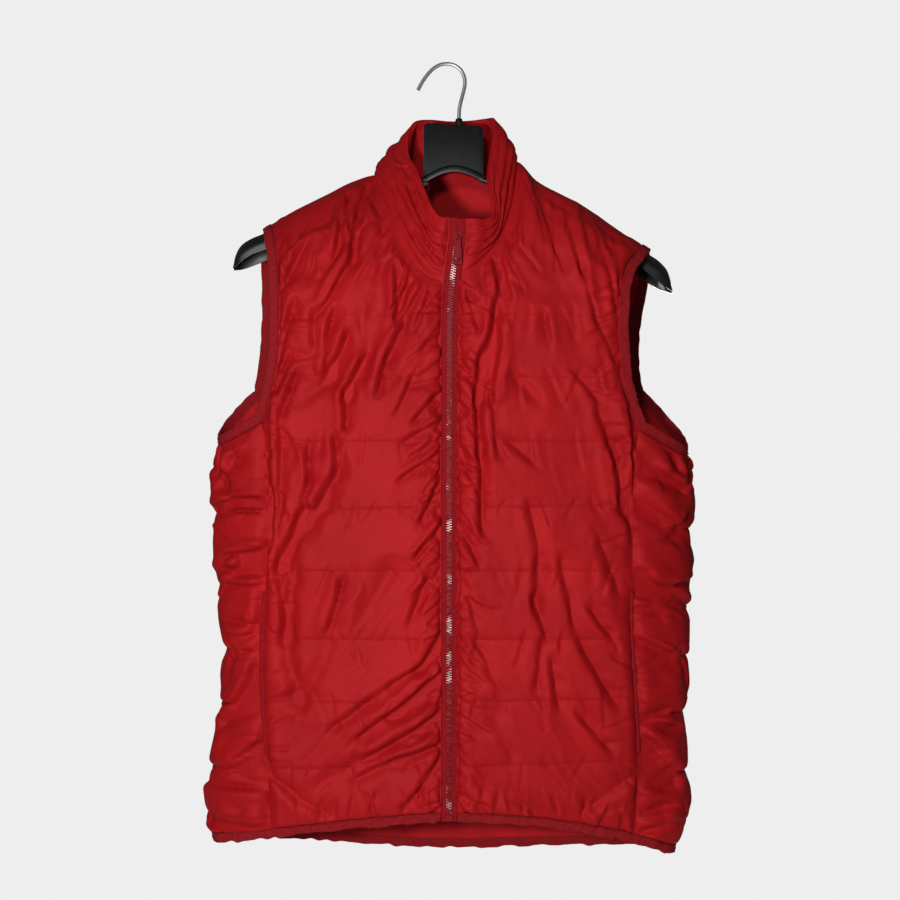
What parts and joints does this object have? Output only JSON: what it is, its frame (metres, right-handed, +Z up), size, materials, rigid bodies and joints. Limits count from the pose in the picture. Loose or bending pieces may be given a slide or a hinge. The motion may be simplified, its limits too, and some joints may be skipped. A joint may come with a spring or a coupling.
{
  "type": "puffer vest on a coat hanger",
  "caption": "Quilted sleeveless jacket with a stand collar and a front zip, zipped up and hanging on a moulded hanger with a wire hook.",
  "frame": {"origin": "inside top of the hanger's hook, where a rail or a peg carries it", "axes": "+Z up, -Y to the front with the zip, +X to the right of someone who faces the front"},
  "size_m": [0.4983, 0.1364, 0.8098],
  "materials": {
    "shell_nylon": "satin",
    "binding": "matte",
    "zip_tape": "matte",
    "zip_enamel": "satin",
    "hanger_plastic": "gloss",
    "hook_wire": "bright"
  },
  "bodies": {
    "vest": {"front_left": "shell_nylon", "front_right": "shell_nylon", "side_left": "shell_nylon", "side_right": "shell_nylon", "back": "shell_nylon", "collar": "shell_nylon", "armhole_binding_left": "binding", "armhole_binding_right": "binding", "hem_binding": "binding", "zip_tape_left": "zip_tape", "zip_tape_right": "zip_tape", "pocket_zip_left": "zip_tape", "pocket_zip_right": "zip_tape", "zip_slider": "zip_enamel", "zip_stop": "zip_enamel", "hanger_body": "hanger_plastic", "hanger_hook": "hook_wire"},
    "pull_tab": {"zip_pull_tab": "zip_enamel"}
  },
  "joints": [
    {"name": "pull_tab_hinge", "type": "hinge", "parent": "vest", "child": "pull_tab", "pos_m": [0.01041, -0.06666, -0.181], "axis": [-1, 0, 0], "range_deg": [0, 165]}
  ]
}
